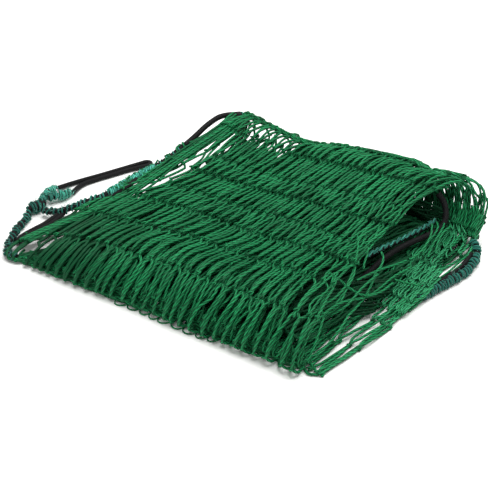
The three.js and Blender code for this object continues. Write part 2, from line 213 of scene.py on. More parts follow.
sheetForm = {
    "lowest": 1.1,  # mm, middle of the twines that lie on the floor
    # left, right, yLeft, yRight, then the heights at four lines across
    "outerTurn": [
        (-130, 146, -100, -111, 1.1, 1.1, 1.1, 1.1),
        (-124, 160, -58, -61, 1.1, 1.1, 1.1, 1.1),
        (-118, 164, -10, -10, 1.1, 1.1, 1.1, 1.1),
        (-110, 166, 45, 45, 1.1, 1.1, 1.1, 1.1),
        (-104, 168, 92, 92, 1.1, 1.1, 1.1, 1.1),
        (-100, 163, 120, 121, 5, 4, 4, 5),
        (-97, 164, 135, 136, 26, 22, 26, 27),
        (-93, 160, 131, 132, 48, 43, 51, 50),
        (-91, 141, 114, 114, 54, 51, 60, 59),
        (-94, 128, 90, 90, 50, 46, 54, 56),
        (-106, 120, 34, 34, 36, 37, 42, 48),
        (-117, 122, -27, -27, 24, 31, 37, 44),
        (-150, 134, -91, -87, 9, 33, 40, 42),
        (-156, 137, -122, -110, 8, 27, 33, 35),
        (-154, 137, -136, -121, 6, 14, 18, 20),
        (-148, 135, -136, -121, 3.2, 4, 5, 6),
        (-140, 133, -120, -110, 3.8, 4, 4, 4),
    ],
    # zFront, zMiddle, zBack, front, back, leftFront, leftBack, rightFront, rightBack
    "layers": [
        (5.4, 5, 5, -94, 102, -126, -98, 128, 158),
        (10, 9.2, 9, -94, 102, -112, -96, 122, 150),
        (15.6, 14.4, 14, -94, 95, -98, -94, 110, 142),
        (20.8, 18.6, 18.2, -89, 95, -84, -92, 84, 127),
        (25.6, 22.8, 22, -89, 90, -55, -90, 79, 123.5),
    ],
}


def levelRow(left, right, y, z):
    return (left, right, y, y, z, z, z, z)


def layerRows(layer, runsBack):
    zFront, zMiddle, zBack, front, back, leftFront, leftBack, rightFront, rightBack = layer
    rows = [
        levelRow(leftFront, rightFront, front, zFront),
        levelRow((leftFront + leftBack) / 2, (rightFront + rightBack) / 2, (front + back) / 2, zMiddle),
        levelRow(leftBack, rightBack, back, zBack),
    ]
    return rows if runsBack else rows[::-1]


def foldRow(lower, upper, runsBack):
    a, b = layerRows(lower, runsBack)[-1], layerRows(upper, not runsBack)[0]
    radius = (b[4] - a[4]) / 2
    y = a[2] + (radius if runsBack else -radius)
    return levelRow((a[0] + b[0]) / 2, (a[1] + b[1]) / 2, y, a[4] + radius)


stations = list(sheetForm["outerTurn"])
for i, layer in enumerate(sheetForm["layers"]):
    stations += layerRows(layer, i % 2 == 0)
    if i + 1 < len(sheetForm["layers"]):
        stations.append(foldRow(layer, sheetForm["layers"][i + 1], i % 2 == 0))
stations = np.array(stations, float)


def splineAt(points, place):  # centripetal spline through points, place counts them
    n = len(points)
    padded = np.vstack([2 * points[0] - points[1], points, 2 * points[-1] - points[-2]])
    first = np.clip(np.floor(place).astype(int), 0, n - 2)
    t = (place - first)[..., None]
    x0, x1, x2, x3 = (padded[first + k] for k in range(4))
    d0, d1, d2 = (np.maximum(((b - a) ** 2).sum(-1, keepdims=True) ** 0.25, 1e-4)
                  for a, b in ((x0, x1), (x1, x2), (x2, x3)))
    m1 = ((x1 - x0) / d0 - (x2 - x0) / (d0 + d1) + (x2 - x1) / d1) * d1
    m2 = ((x2 - x1) / d1 - (x3 - x1) / (d1 + d2) + (x3 - x2) / d2) * d1
    return x1 + m1 * t + (-3 * x1 + 3 * x2 - 2 * m1 - m2) * t ** 2 + (2 * x1 - 2 * x2 + m1 + m2) * t ** 3


def unit(v):
    return v / np.maximum(np.linalg.norm(v, axis=-1, keepdims=True), 1e-9)


def lengthGone(lines):  # length along a line, or each of many, up to each of its points
    steps = np.linalg.norm(np.diff(lines, axis=-2), axis=-1)
    return np.concatenate([np.zeros_like(steps[..., :1]), np.cumsum(steps, -1)], -1)


guideLines = []  # four lines along the sheet, evenly spread across it
for i in range(4):
    x = stations[:, 0] + (stations[:, 1] - stations[:, 0]) * i / 3
    y = stations[:, 2] + (stations[:, 3] - stations[:, 2]) * i / 3
    guideLines.append(np.stack([x, y, stations[:, 4 + i]], -1) + packShift)
stationTable = np.linspace(0, len(stations) - 1, 4000)
alongTable = lengthGone(splineAt(guideLines[1], stationTable))  # mm along the sheet
outerEnd = float(np.interp(len(sheetForm["outerTurn"]) - 1, stationTable, alongTable))
sheetEnd = float(alongTable[-1])
print("sheet runs", round(outerEnd), "mm round the outside and", round(sheetEnd), "mm in all")


def sheetAt(across, along):  # cubic through the four guide lines
    place = np.interp(along, alongTable, stationTable)
    a = across[..., None]
    shares = (-4.5 * (a - 1 / 3) * (a - 2 / 3) * (a - 1), 13.5 * a * (a - 2 / 3) * (a - 1),
              -13.5 * a * (a - 1 / 3) * (a - 1), 4.5 * a * (a - 1 / 3) * (a - 2 / 3))
    point = sum(share * splineAt(line, place) for share, line in zip(shares, guideLines))
    point[..., 2] = np.maximum(point[..., 2], sheetForm["lowest"])
    return point


def sheetFrame(across, along):  # point, direction across, direction along and normal
    point = sheetAt(across, along)
    sideways = unit(sheetAt(across + 0.01, along) - sheetAt(across - 0.01, along))
    forward = unit(sheetAt(across, along + 1.0) - sheetAt(across, along - 1.0))
    return point, sideways, forward, unit(np.cross(sideways, forward))


# meshes from arrays

def sweep(paths, ups, radius, sides, starts=3, lay=6.0, tone=None, closed=False):
    # round tubes along many paths at once; starts and lay give the turns of the twist for the UV map
    count, steps = paths.shape[:2]
    ahead = np.roll(paths, -1, 1) - np.roll(paths, 1, 1) if closed else np.gradient(paths, axis=1)
    tangents = unit(ahead)
    sides0 = unit(np.cross(tangents, ups))
    ups0 = np.cross(sides0, tangents)
    angle = 2 * np.pi * np.arange(sides) / sides
    ring = np.cos(angle)[:, None] * sides0[:, :, None] + np.sin(angle)[:, None] * ups0[:, :, None]
    size = np.broadcast_to(np.asarray(radius, float), (count, steps))
    verts = (paths[:, :, None] + ring * size[:, :, None, None]).reshape(-1, 3)
    number = np.arange(count * steps * sides).reshape(count, steps, sides)
    spans = steps if closed else steps - 1
    now, after = number[:, :spans], np.roll(number, -1, 1)[:, :spans]
    quads = np.stack([now, after, np.roll(after, -1, 2), np.roll(now, -1, 2)], -1).reshape(-1, 4)
    travelled = lengthGone(paths) / lay
    if closed:
        travelled = np.concatenate([travelled, travelled[:, -1:] + 1 / lay], 1)
    begin, end = travelled[:, :spans, None, None], travelled[:, 1:spans + 1, None, None]
    turn = starts * np.arange(sides + 1) / sides
    near, far = turn[:-1][None, None, :, None], turn[1:][None, None, :, None]
    corners = [np.concatenate([around + gone, around - gone], -1)
               for around, gone in ((near, begin), (near, end), (far, end), (far, begin))]
    uvs = np.stack(corners, 3).reshape(-1, 2)
    caps = [] if closed else np.concatenate([number[:, 0], number[:, -1, ::-1]]).tolist()
    tone = chance.uniform(0, 1, count) if tone is None else np.asarray(tone, float)
    tones = np.repeat(np.broadcast_to(tone.reshape(count, -1), (count, steps)).ravel(), sides)
    uvs = np.vstack([uvs, np.zeros((len(caps) * sides, 2))])
    return {"verts": verts, "faces": quads.tolist() + caps, "uvs": uvs, "tones": tones}


def addPiece(name, parts, material, nodes):
    verts, faces, uvs, tones, start = [], [], [], [], 0
    for part in parts:
        faces += [[v + start for v in face] for face in part["faces"]]
        start += len(part["verts"])
        verts.append(part["verts"])
        uvs.append(part["uvs"])
        tones.append(part["tones"])
    mesh = bpy.data.meshes.new(name)
    mesh.from_pydata((np.vstack(verts) * mm).tolist(), [], faces)
    mesh.uv_layers.new(name="lay").data.foreach_set("uv", np.vstack(uvs).astype(np.float32).ravel())
    toneLayer = mesh.attributes.new("tone", "FLOAT", "POINT")
    toneLayer.data.foreach_set("value", np.concatenate(tones).astype(np.float32))
    mesh.polygons.foreach_set("use_smooth", np.ones(len(faces), bool))
    mesh.materials.append(material)
    mesh.update()
    piece = bpy.data.objects.new(name, mesh)
    bpy.context.scene.collection.objects.link(piece)
    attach(piece, "root")
    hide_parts(*nodes)
    print(name, sum(len(face) - 2 for face in faces), "triangles")
    return piece


# cords

cordStep = 1.6       # mm between the rings of a cord
elasticRadius = 2.2  # mm


def resample(values, gone, places):
    return np.stack([np.interp(places, gone, values[:, k]) for k in range(3)], -1)


def denseRoute(route):  # close points of a route given in layout mm, and the length gone at each
    points = np.array(route, float) + packShift
    dense = splineAt(points, np.linspace(0, len(points) - 1, 60 * len(points)))
    return dense, lengthGone(dense)


def cordLine(route, step=cordStep, lowest=0.0):  # evenly spaced points, their up directions and tangents
    dense, gone = denseRoute(route)
    even = np.linspace(0, gone[-1], max(4, int(round(gone[-1] / step))) + 1)
    line = resample(dense, gone, even)
    line[:, 2] = np.maximum(line[:, 2], lowest)
    tangent = unit(np.gradient(line, axis=0))
    up = np.array([0.0, 0.0, 1.0])
    ups = []
    for t in tangent:  # carried along without twist
        up = up - t * (up @ t)
        up = up / np.linalg.norm(up)
        ups.append(up)
    return line, np.array(ups), tangent


def elasticTube(line, ups, radius, sides=14):  # with the lay of a fine braid
    return sweep(line[None], ups[None], radius, sides, starts=8, lay=0.6)


def twineTube(line, ups, radius, tone=None, lay=6.0):
    return sweep(line[None], ups[None], radius, 7, lay=lay, tone=tone)


def helixRound(line, ups, tangent, reach, pitch, perTurn, wobble, phase):
    # a twine wound by hand round a line: its reach may change along it and sways, its turns come unevenly
    gone = lengthGone(line)
    fine = np.linspace(0, gone[-1], max(6, int(gone[-1] / pitch * perTurn)))
    centre, up, along = (resample(values, gone, fine) for values in (line, ups, tangent))
    up, along = unit(up), unit(along)
    side = np.cross(along, up)
    sway = wobble * np.sin(fine * 1.9 + phase) + 0.6 * wobble * np.sin(fine * 4.3 + 2 * phase)
    uneven = 0.9 * np.sin(fine * 0.31 + 3 * phase) + 0.6 * np.sin(fine * 0.83 + phase)
    angle = 2 * np.pi * fine / pitch + phase + 2.4 * wobble * uneven
    far = np.interp(fine, np.linspace(0, gone[-1], len(reach)), reach) + sway
    out = np.cos(angle)[:, None] * side + np.sin(angle)[:, None] * up
    return centre + out * far[:, None], out


routes = {
    "border_cord_tip": [
        (-143, -133.5, 4.2), (-152.2, -134, 4.2), (-160.6, -126.6, 4.2), (-167.8, -115, 4.2),
        (-174, -104, 4.2), (-178, -93, 4.2), (-181.5, -83, 4.3), (-184.8, -75.8, 4.8)],
    "border_cord_top": [
        (-177, -67, 6.2), (-166, -64, 6.8), (-156.5, -57, 9.5), (-146, -48.5, 14.5), (-134.5, -39, 20),
        (-127, -26, 24), (-123.4, -9, 26.6), (-119.6, 8, 28.6), (-115.4, 22, 31.2), (-111.6, 37, 35.4),
        (-108.6, 53, 40.9)],
    "border_cord_back": [
        (-99.4, 127.1, 46), (-101.8, 134.6, 40), (-103.4, 139.4, 30), (-104.6, 136.4, 16),
        (-104, 126, 7), (-102.4, 110, 4.2), (-104, 82, 4.2), (-108, 45, 4.2), (-115, -8, 4.2),
        (-122, -58, 4.2), (-130, -98, 4.2)],
    "border_cord_right": [
        (160.5, 12, 3.4), (165.5, 29, 3.8), (170, 48, 4.2), (174.2, 65, 4.4), (175.2, 80, 4.6),
        (173.2, 93, 5.4), (169.4, 101.5, 8.4), (163, 106, 12.4)],
    "border_cord_inner": [
        (111, 16, 23.9), (114.5, 32, 23.3), (118.7, 48, 22.9), (122.9, 66, 22.7), (126.9, 83, 22.6),
        (129.5, 99, 22.9)],
    "elastic_left": [
        (-159.2, -115, 4.4), (-159, -104, 4.8), (-156, -92, 6), (-154.6, -81, 6.2), (-155.4, -71, 6.4),
        (-157.6, -61.5, 6.2), (-161.5, -54.5, 4.4)],
    "elastic_back": [
        (-108.5, 53.8, 41.2), (-107.4, 62, 43.6), (-106.6, 71, 46.2), (-106, 81, 49.2),
        (-105.6, 91, 50.8), (-104, 101, 52.2), (-101, 110, 51.6), (-98.6, 118, 49.6),
        (-99, 126.2, 46.6)],
    "elastic_inner": [
        (114, -6, 10.6), (117.6, 8, 14.4), (120.4, 24, 19), (123.4, 43, 20.6), (127.8, 61, 20.6),
        (133.6, 79, 20.6), (137.4, 91, 22), (138.6, 98, 27), (136.6, 102.4, 33.5), (132.6, 105.4, 40),
        (126, 106, 46)],
    "elastic_loop": [
        (-196.3, -26.9, 3.6), (-193.5, -14, 2.6), (-188.5, 0, 2.3), (-182, 15, 2.3), (-176, 30, 2.3),
        (-170, 45, 2.3), (-165.6, 56, 2.3), (-163, 61.5, 2.3), (-158.6, 62.4, 2.3), (-157.4, 58.4, 2.3),
        (-160.5, 52, 2.3), (-166.6, 40, 2.3), (-172.6, 25, 2.3), (-178.6, 10, 2.3), (-183, -4, 2.5),
        (-182.6, -15, 2.8), (-179.6, -24.4, 3.4)],
}

# bare elastic between the lashed stretches, thicker where it is not drawn tight
bareElastics = {
    "elastic_left": {"radius": 2.2, "beside": (-5.0, -1.6, -0.5)},  # lies double at the left corner
    "elastic_back": {"radius": 2.6},
    "elastic_inner": {"radius": 2.6},
}
for name, cord in bareElastics.items():
    line, ups, _ = cordLine(routes[name], lowest=cord["radius"])
    tubes = [elasticTube(line, ups, cord["radius"])]
    if "beside" in cord:
        bow = np.sin(np.linspace(0.5, np.pi - 0.3, len(routes[name])))[:, None]
        line, ups, _ = cordLine(routes[name] + bow * cord["beside"], lowest=elasticRadius)
        tubes.append(elasticTube(line, ups, elasticRadius))
    addPiece(name + "_cord", tubes, blackElastic, [name])

loopLine, loopUps, _ = cordLine(routes["elastic_loop"], lowest=elasticRadius)
loopTube = elasticTube(loopLine, loopUps, elasticRadius)
freeLoop = addPiece("free_loop", [loopTube], blackElastic, ["elastic_loop"])

# border cord: black elastic, the lashing twine wound round it open, or close where it is slack
borderWinds = {
    # begin, end, pitch, twine, wobble, hairs, tone of each winding
    "border_cord_tip": {"core": 2.9, "winds": [(0.0, 1.0, 4.8, 0.75, 1.5, 120, (-0.5, 0.2))]},
    "border_cord_top": {"core": 2.8, "winds": [
        (0.0, 0.46, 4.4, 0.8, 1.5, 200, (-0.4, 0.6)), (0.43, 0.76, 1.9, 1.2, 1.3, 320, (1.0, 0.9)),
        (0.41, 0.78, 7.0, 1.0, 2.0, 0, (1.3, 0.9)), (0.74, 1.0, 7.5, 0.7, 0.6, 30, (0.4, 0.4))]},
    "border_cord_back": {"core": 2.4, "winds": [(0.0, 1.0, 5.0, 0.8, 0.4, 0, (0.4, 0.4))]},
    "border_cord_right": {"core": 2.6, "winds": [(0.0, 1.0, 3.4, 1.1, 1.6, 120, (-0.4, 0.1))]},
    "border_cord_inner": {"core": 2.0, "raised": 1.3, "reach": 1.0, "winds": [
        (0.0, 1.0, 13.0, 1.2, 0.2, 30, (0.8, 0.2)), (0.0, 1.0, 13.0, 1.2, 0.2, 30, (0.6, 0.0))]},
}
slackBits = {  # elastic drawn out beside the lashing
    "border_cord_top": [
        (-133, -41, 19.5), (-127, -33, 21), (-121.4, -24.1, 24), (-118.2, -17, 27), (-118, -4, 29)],
    "border_cord_right": [
        (163.2, 40, 3.6), (166.4, 54, 4.6), (169, 68, 5.4), (169.6, 82, 6.6), (168, 93, 8)],
}
fibreForm = {"radius": 0.17, "lowest": 0.15, "short": 0.8, "long": 2.6, "tone": 1.3}


def fuzz(line, ups, tangent, reach, count):  # short fibres frayed out of the twine
    pick = chance.integers(1, len(line) - 1, count)
    angle = chance.uniform(0, 2 * np.pi, count)[:, None]
    side = np.cross(tangent[pick], ups[pick])
    out = np.cos(angle) * side + np.sin(angle) * ups[pick]
    lean = unit(out + chance.normal(0, 0.6, (count, 3)))
    curl = unit(out + chance.normal(0, 1.0, (count, 3)))
    grown = chance.uniform(fibreForm["short"], fibreForm["long"], count)[:, None]
    root = line[pick] + out * reach
    path = np.stack([root, root + lean * grown * 0.6, root + (lean + curl) * grown * 0.6], 1)
    path[..., 2] = np.maximum(path[..., 2], fibreForm["lowest"])
    return sweep(path, np.broadcast_to(tangent[pick][:, None], path.shape), fibreForm["radius"], 3,
                 tone=np.full(count, fibreForm["tone"]))


def windTwine(line, ups, tangent, reach, pitch, twine, wobble, hairs, phase, tone):
    path, out = helixRound(line, ups, tangent, reach, pitch, 14, wobble * 0.4, phase)
    path[:, 2] = np.maximum(path[:, 2], twine)
    parts = [twineTube(path, out, twine, np.linspace(*tone, len(path))[None], lay=5.0)]
    if hairs:
        parts.append(fuzz(line, ups, tangent, float(np.max(reach)) + 0.3 * twine, hairs))
    return parts


for number, (name, border) in enumerate(borderWinds.items()):
    line, ups, tangent = cordLine(routes[name])
    cores = [elasticTube(line, ups, border["core"])]
    if name in slackBits:
        cores.append(elasticTube(*cordLine(slackBits[name])[:2], elasticRadius))
    addPiece(name + "_core", cores, blackElastic, [name])
    line = line + ups * border.get("raised", 0.0)
    parts = []
    for turn, (begin, end, pitch, twine, wobble, hairs, tone) in enumerate(border["winds"]):
        cut = slice(int(begin * len(line)), int(end * len(line)) + 1)
        reach = np.full(2, border.get("reach", border["core"] + twine * 0.25))
        phase = 1.4 + number + np.pi * turn
        parts += windTwine(line[cut], ups[cut], tangent[cut], reach, pitch, twine, wobble, hairs, phase,
                           tone)
    addPiece(name + "_lashing", parts, tealTwine, [name])

# lashings of the loop: twine wound close and frayed; the corner knot is elastic with open turns of twine
closeWind = {"twine": 0.75, "pitches": (3.0, 5.0, 11.0), "hairs": 110}  # pitches in radii of the twine
lashings = {
    "lashing_outer": {
        "route": [(-187.6, -57, 5.8), (-192.4, -49, 6.2), (-195.6, -39, 5.6), (-196.2, -28.2, 4.8)],
        "radius": 2.9, "tone": (0.2, 1.5), **closeWind},
    "lashing_inner": {
        "route": [(-187.4, -48.5, 6.4), (-184, -43, 6.6), (-181, -35, 5.8), (-179.5, -25.3, 4.8)],
        "radius": 3.4, "tone": (0.0, 1.6), **closeWind},
    "corner_knot": {
        "route": [(-187, -74, 6.4), (-186, -65, 6.6), (-184.6, -56.4, 6.4)],
        "radius": 5.2, "twine": 0.9, "pitches": (4.2, 8.0), "hairs": 60, "tone": (-0.4, 0.3)},
}
for number, (name, wind) in enumerate(lashings.items()):
    line, ups, tangent = cordLine(wind["route"], 1.0)
    twine = wind["twine"]
    share = np.linspace(0, 1, 24)
    belly = (0.7 + 0.3 * np.sin(np.pi * share)) * (1 + 0.1 * np.sin(11 * share + 2 * number))
    reach = wind["radius"] * belly - twine * 0.7
    parts = []
    for layer, pitch in enumerate(wind["pitches"]):
        parts += windTwine(line, ups, tangent, reach + 0.4 * layer, pitch * twine, twine, 2.2,
                           wind["hairs"] // (1 + 2 * layer), 2.0 * layer + number, wind["tone"])
    coreRadius = np.interp(np.linspace(0, 1, len(line)), share, reach) - 0.1
    core = elasticTube(line, ups, coreRadius, 12)
    addPiece(name + "_core", [core], blackElastic, [name])
    addPiece(name + "_winding", parts, tealTwine, [name])
print("cords laid")


# the net: knots in staggered rows on the folded sheet, and twines between them

netForm = {"columns": 30, "twine": 1.15, "steps": 9, "sides": 6}  # meshes across, radius in mm
knotForm = {"wide": 1.4, "long": 1.2, "thick": 0.9, "twine": 0.9, "proud": 1.7, "steps": 14, "sides": 5}
sheetWidth = 265.0  # mm, turns a sideways shift into a share of the width
packWidth = 0.27  # m, width of a flat sheet unless a turn gives its own
nestedFrom = 1.0  # mm of depth from which a turn lies inside another,
closeTo = 4.0  # up to which it lies close under the outermost
shownTo = 9.0  # and up to which it shows between the twines outside it, painted a little lighter there as painted light
borderSoft = 7.0  # mm beside a border where the columns bunch up
borderShare = 0.05  # share of the width where the outermost columns keep to their border
backEdge = 285  # mm along the sheet where the bend turns over into the top,
backReach = 22  # how far its raggedness and its sags reach
topFlat = 330  # and from where the top lies flat
frontPartings = (0.69, 0.745, 0.815, 0.858)  # shares across where the twines of the front draw apart
cornerSlots = (0.057, 0.084, 0.112)  # and the slots at the left corner


def easeIn(t):
    t = np.clip(t, 0, 1)
    return t * t * (3 - 2 * t)


def rampUp(value, start, reach):  # 0 up to start, then up to 1 within reach
    return easeIn((value - start) / reach)


def rampDown(value, end, reach):  # 1, then down to 0 at end within reach
    return easeIn((end - value) / reach)


# at each station of the outer turn: where the first and last column would lie if no border held them,
# how far past the sheet's left and right edge the net reaches, and the swing of the middle
twineRuns = [
    (-130, 160, 0, 3, 0), (-128, 163, 0, -1, 0), (-125, 165, 0, -2, 0), (-120, 167, 0, -2, 0),
    (-118, 168, 0, 0, 0), (-118, 164, 1, -2, 0), (-119, 160, 1, -4, 2), (-121, 150, -1, -3, 4),
    (-123, 132, -4, 0, 6), (-125, 122, 1, 0, 8), (-132, 118, 8, 0, 9), (-155, 121, 12, 0, 11),
    (-155, 134, 10, 0, 0), (-154, 137, 5, 0, 0), (-155, 137, 1, 0, -3), (-155, 135, 0, 0, -5),
    (-148, 133, 0, 0, -5),
]
runSpacing = 40.0  # a first column that keeps the spline even from station to station
runTable = [(*row, *stations[i, :2]) for i, row in enumerate(twineRuns)]
runTable += [(left, right, 0, 0, 0, left, right) for left, right in stations[len(twineRuns):, :2]]
runTable = np.hstack([np.arange(len(stations))[:, None] * runSpacing, np.array(runTable, float)])


def runsAt(along):  # a row of the table at each place along the sheet
    return np.moveaxis(splineAt(runTable, np.interp(along, alongTable, stationTable))[..., 1:], -1, 0)


def softAbove(d):  # d where it is well above nought, close to nought below
    return borderSoft * np.logaddexp(0, d / borderSoft)


def acrossSheet(u, along):  # columns keep their line and bunch up where a border comes in on them
    free0, free1, past0, past1, swing, left, right = runsAt(along)
    low, high = left - past0, right + past1
    x = free0 + (free1 - free0) * u + swing * 4 * u * (1 - u)
    x = low + softAbove(x - low) - softAbove(free0 - low) * np.exp(-(u / borderShare) ** 2)
    x = high - softAbove(high - x) + softAbove(high - free1) * np.exp(-((1 - u) / borderShare) ** 2)
    return (x - left) / (right - left)


# ripples: size in mm, mm along to a radian, radians across the sheet, start
swayRipples = [(1.2, 47, 4, 0), (1.0, 19, -7, 1)]      # the twines sway slowly sideways
rumpleRipples = [(0.8, 19, 6, 0), (0.6, -29, 17, 0)]   # the sheet rises and sinks a little
gatherRipples = [(0.9, 37, 2 * np.pi * 8.3, 0), (1.6, -61, 2 * np.pi * 4.7, 1)]  # columns crowd and part
# depth in mm, place across, width
backSags = [(-0.7, 0.1, 0.08), (5.0, 0.33, 0.12), (4.0, 0.82, 0.05), (-2.0, 0.97, 0.04)]


def ripple(table, u, along):
    return sum(size * np.sin(along / length + turn * u + start) for size, length, turn, start in table)


def nearBackEdge(along):
    return np.exp(-((along - backEdge) / backReach) ** 2)


def backSag(across, along):  # the back edge sags in places, mm
    sag = sum(deep * np.exp(-((across - place) / wide) ** 2) for deep, place, wide in backSags)
    return sag * nearBackEdge(along)


def pushApart(u, places, push, reach):  # twines move away from the places across, mm
    return sum(push * np.sign(u - x) * np.exp(-np.abs(u - x) / reach) for x in places)


def parting(u, along):  # places down the front where the twines draw apart, mm
    opened = pushApart(u, frontPartings, 1.6, 0.02) * rampUp(along, 500, 25) * rampDown(along, 578, 20)
    slots = pushApart(u, cornerSlots, 3.2, 0.012) * rampUp(along, 510, 15) * rampDown(along, 555, 15)
    return opened + slots


def weave(rows, stands, s, jitter, phase, bunch):
    # knots and ends of twines as (across, along, stand of the row), and the chain each twine belongs to
    knots = []
    for number, (middle, stand) in enumerate(zip(rows, stands)):
        count = s["columns"] + 1 - number % 2
        u = (np.arange(count) + 0.5 * (number % 2)) / s["columns"]
        drift = 1.1 * np.sin(5 * u + 1.1 * number + phase) + 0.6 * np.sin(14 * u - 2.3 * number + phase)
        along = middle + drift + chance.normal(0, 0.5 * jitter, count)
        inside = np.sin(np.pi * np.clip(u, 0, 1)) ** 0.3
        shift = chance.normal(0, 0.5 * jitter, count) + bunch * ripple(gatherRipples, u, along)
        across = u + inside * shift / sheetWidth
        across = across + s.get("lean", 0.0) * (0.5 - (along - rows[0]) / (rows[-1] - rows[0]))
        knots.append(np.stack([across, along, np.full(count, stand)], -1))
    begin, finish, chains = [], [], []
    for number in range(len(rows) - 1):
        for column in range(len(knots[number])):
            for target in ((column, column + 1) if number % 2 else (column - 1, column)):
                if 0 <= target < len(knots[number + 1]):
                    begin.append(knots[number][column])
                    finish.append(knots[number + 1][target])
                    chains.append(column + target)  # twines of one chain run on from row to row
    return np.vstack(knots), np.array(begin), np.array(finish), np.array(chains)


def placeOnSheet(u, along, lift, lowest):
    along = np.clip(along, 0, sheetEnd)
    u = u + np.sin(np.pi * np.clip(u, 0, 1)) * ripple(swayRipples, u, along) / sheetWidth
    across = acrossSheet(u, along)
    point, sideways, forward, normal = sheetFrame(across, along)
    point = point + normal * (lift + ripple(rumpleRipples, u, along) + backSag(across, along))[..., None]
    point[..., 2] = np.maximum(point[..., 2], lowest)
    return point, sideways, forward, normal


twineSteps = {  # where the rings of a twine lie between its knots, by their number
    9: (0, 0.07, 0.16, 0.27, 0.42, 0.6, 0.78, 0.92, 1),
    7: (0, 0.1, 0.25, 0.45, 0.65, 0.85, 1),
    6: (0, 0.15, 0.35, 0.6, 0.85, 1),
}


def looseShare(u, along):  # twines lie freer near the right edge of the top layer and down the front
    front = 0.8 * rampUp(u, 0.35, 0.3) * rampUp(along, 505, 15)
    return rampUp(along, topFlat, 40) * np.maximum(rampUp(u, 0.8, 0.2), front)


def twineTones(across, along, s, depth):
    # painted light and shade: the heap and the bend at the right end are painted paler where they lie in
    # shade, the left of the front is painted darker as painted shade, and the layers close under the top are
    # painted lighter between its twines
    tone = s["tone"] + s.get("spread", 1 - s["tone"]) * chance.uniform(0, 1, len(across))
    paintedHeapLight = rampUp(across, 0.84, 0.08) * rampDown(along, 300, 30) * (0.3 + 0.7 * rampUp(along, 50, 60))
    front = rampUp(along, 470, 30)
    shaded = 0.75 * rampDown(across, 0.45, 0.3) * front
    if nestedFrom < depth < shownTo:
        shaded = shaded - 0.25 * rampUp(along, 320, 30) * (1 - front)
    return tone + paintedHeapLight - shaded


def netTwines(begin, finish, s, depth):
    # twines part just past a knot, run side by side and rise to the next knot, so a row of knots
    # stands over the start of the band in front of it
    t = np.array(twineSteps[s["steps"]])[None]
    count = len(begin)
    middle = (begin + finish) / 2
    across, place = middle[:, :1], middle[:, 1:2]
    loose = looseShare(across, place)
    zone = 0.8 + 0.35 * np.sin(place / 31 + 6 * across)
    zone = zone * (1 - 0.7 * rampUp(place, 515, 15))  # the front hangs plain
    pair = s["pair"] + s["closer"] * np.clip((place - topFlat) / 200, 0, 1) - 0.1 * loose
    pair = pair * chance.uniform(0.93, 1.05, (count, 1))
    beside = easeIn(t / (0.5 - 0.34 * begin[:, 2:]))
    share = pair * beside + (1 - pair) * np.clip((t - 0.3) / 0.7, 0, 1) ** 1.6
    bow = (chance.normal(0, 0.35, (count, 1)) * np.sin(np.pi * t)
           + chance.normal(0, 0.25, (count, 1)) * np.sin(2 * np.pi * t)) * (1 + 2.5 * loose)
    u = begin[:, :1] + (finish[:, :1] - begin[:, :1]) * share + bow / sheetWidth
    if depth < nestedFrom:
        u = u + parting(u, place) / sheetWidth
    low, high = begin[:, 2:] * zone, finish[:, 2:] * zone
    along = begin[:, 1:2] + (finish[:, 1:2] - begin[:, 1:2]) * t
    along = along - s["over"] * low * easeIn(t / 0.12) * (1 - t)
    rise = low * (1 - 2 * easeIn(t / 0.14)) + (low + high) * rampUp(t, 0.12, 0.75)
    ragged = 1 + loose + 2.5 * nearBackEdge(place)
    swell = s["swell"] * rise + chance.normal(0, 0.4, (count, 1)) * np.sin(np.pi * t) * ragged
    swell = swell + 2.2 * rampUp(along, 545, 12) * rampUp(u, 0.3, 0.4)  # the front's foot rests on the floor
    swell = swell - s.get("rise", 0.0) * rampUp(along, 90, 170)
    point, _, _, normal = placeOnSheet(u, along, depth - swell, s["twine"])
    size = s["twine"] * chance.uniform(0.92, 1.08, (count, 1)) * (1 - 0.12 * loose)
    if depth < nestedFrom:
        size = size * (1 + 0.14 * rampUp(place, 490, 30))  # flattened by hanging on the front
    tone = twineTones(middle[:, 0], middle[:, 1], s, depth)
    return sweep(point, normal, size, s["sides"], tone=tone)


def netKnots(knots, s, depth):
    # each knot is a small loop of twine wound over its neighbours
    turn = 2 * np.pi * np.arange(s["steps"]) / s["steps"]
    shape = np.stack([s["wide"] * np.sin(turn), s["long"] * np.sin(2 * turn), s["thick"] * np.cos(turn)], -1)
    count = len(knots)
    across, along, stand = knots.T
    lift = depth - s["proud"] * (0.3 + 0.7 * stand) * (1 - 0.8 * rampUp(along, 520, 30))
    point, sideways, forward, normal = placeOnSheet(across, along, lift, s["thick"] + s["twine"])
    twist = chance.normal(0, 0.35, count)
    size = chance.uniform(0.9, 1.15, count)
    x = np.cos(twist)[:, None] * sideways + np.sin(twist)[:, None] * forward
    y = np.cos(twist)[:, None] * forward - np.sin(twist)[:, None] * sideways
    grown = shape[None] * size[:, None, None]
    path = (point[:, None] + grown[..., :1] * x[:, None] + grown[..., 1:2] * y[:, None]
            + grown[..., 2:] * normal[:, None])
    ups = np.broadcast_to(normal[:, None], path.shape) + 0.3 * unit(path - point[:, None])
    return sweep(path, unit(ups), s["twine"], s["sides"], closed=True)


# the outer turn, more turns lying close inside it, then the layers folded within
fineTwine = dict(netForm, pair=0.55, closer=0.18, swell=1.6, over=3.5, tone=0.4)
plainTwine = dict(netForm, pair=0.5, closer=0.0, swell=0.4, over=0.0, tone=0.35, steps=7, sides=5)
# coarseTwine and denseTwine carry a low tone: the layers deep inside, in the tunnel and under the top, are
# painted darker as painted shade
coarseTwine = dict(plainTwine, steps=6, tone=-0.3, spread=0.5)
denseTwine = dict(coarseTwine, columns=46)
# slackTwine and heapTwine carry a high tone: the strands at the right end are painted paler as painted light
# where they lie in shade
slackTwine = dict(plainTwine, twine=0.95, swell=1.2, tone=0.8, spread=0.4)
heapTwine = dict(slackTwine, columns=48, twine=0.85, lean=0.12, rise=7.0)
lumpForm = dict(knotForm, proud=0.3, steps=8, sides=4)
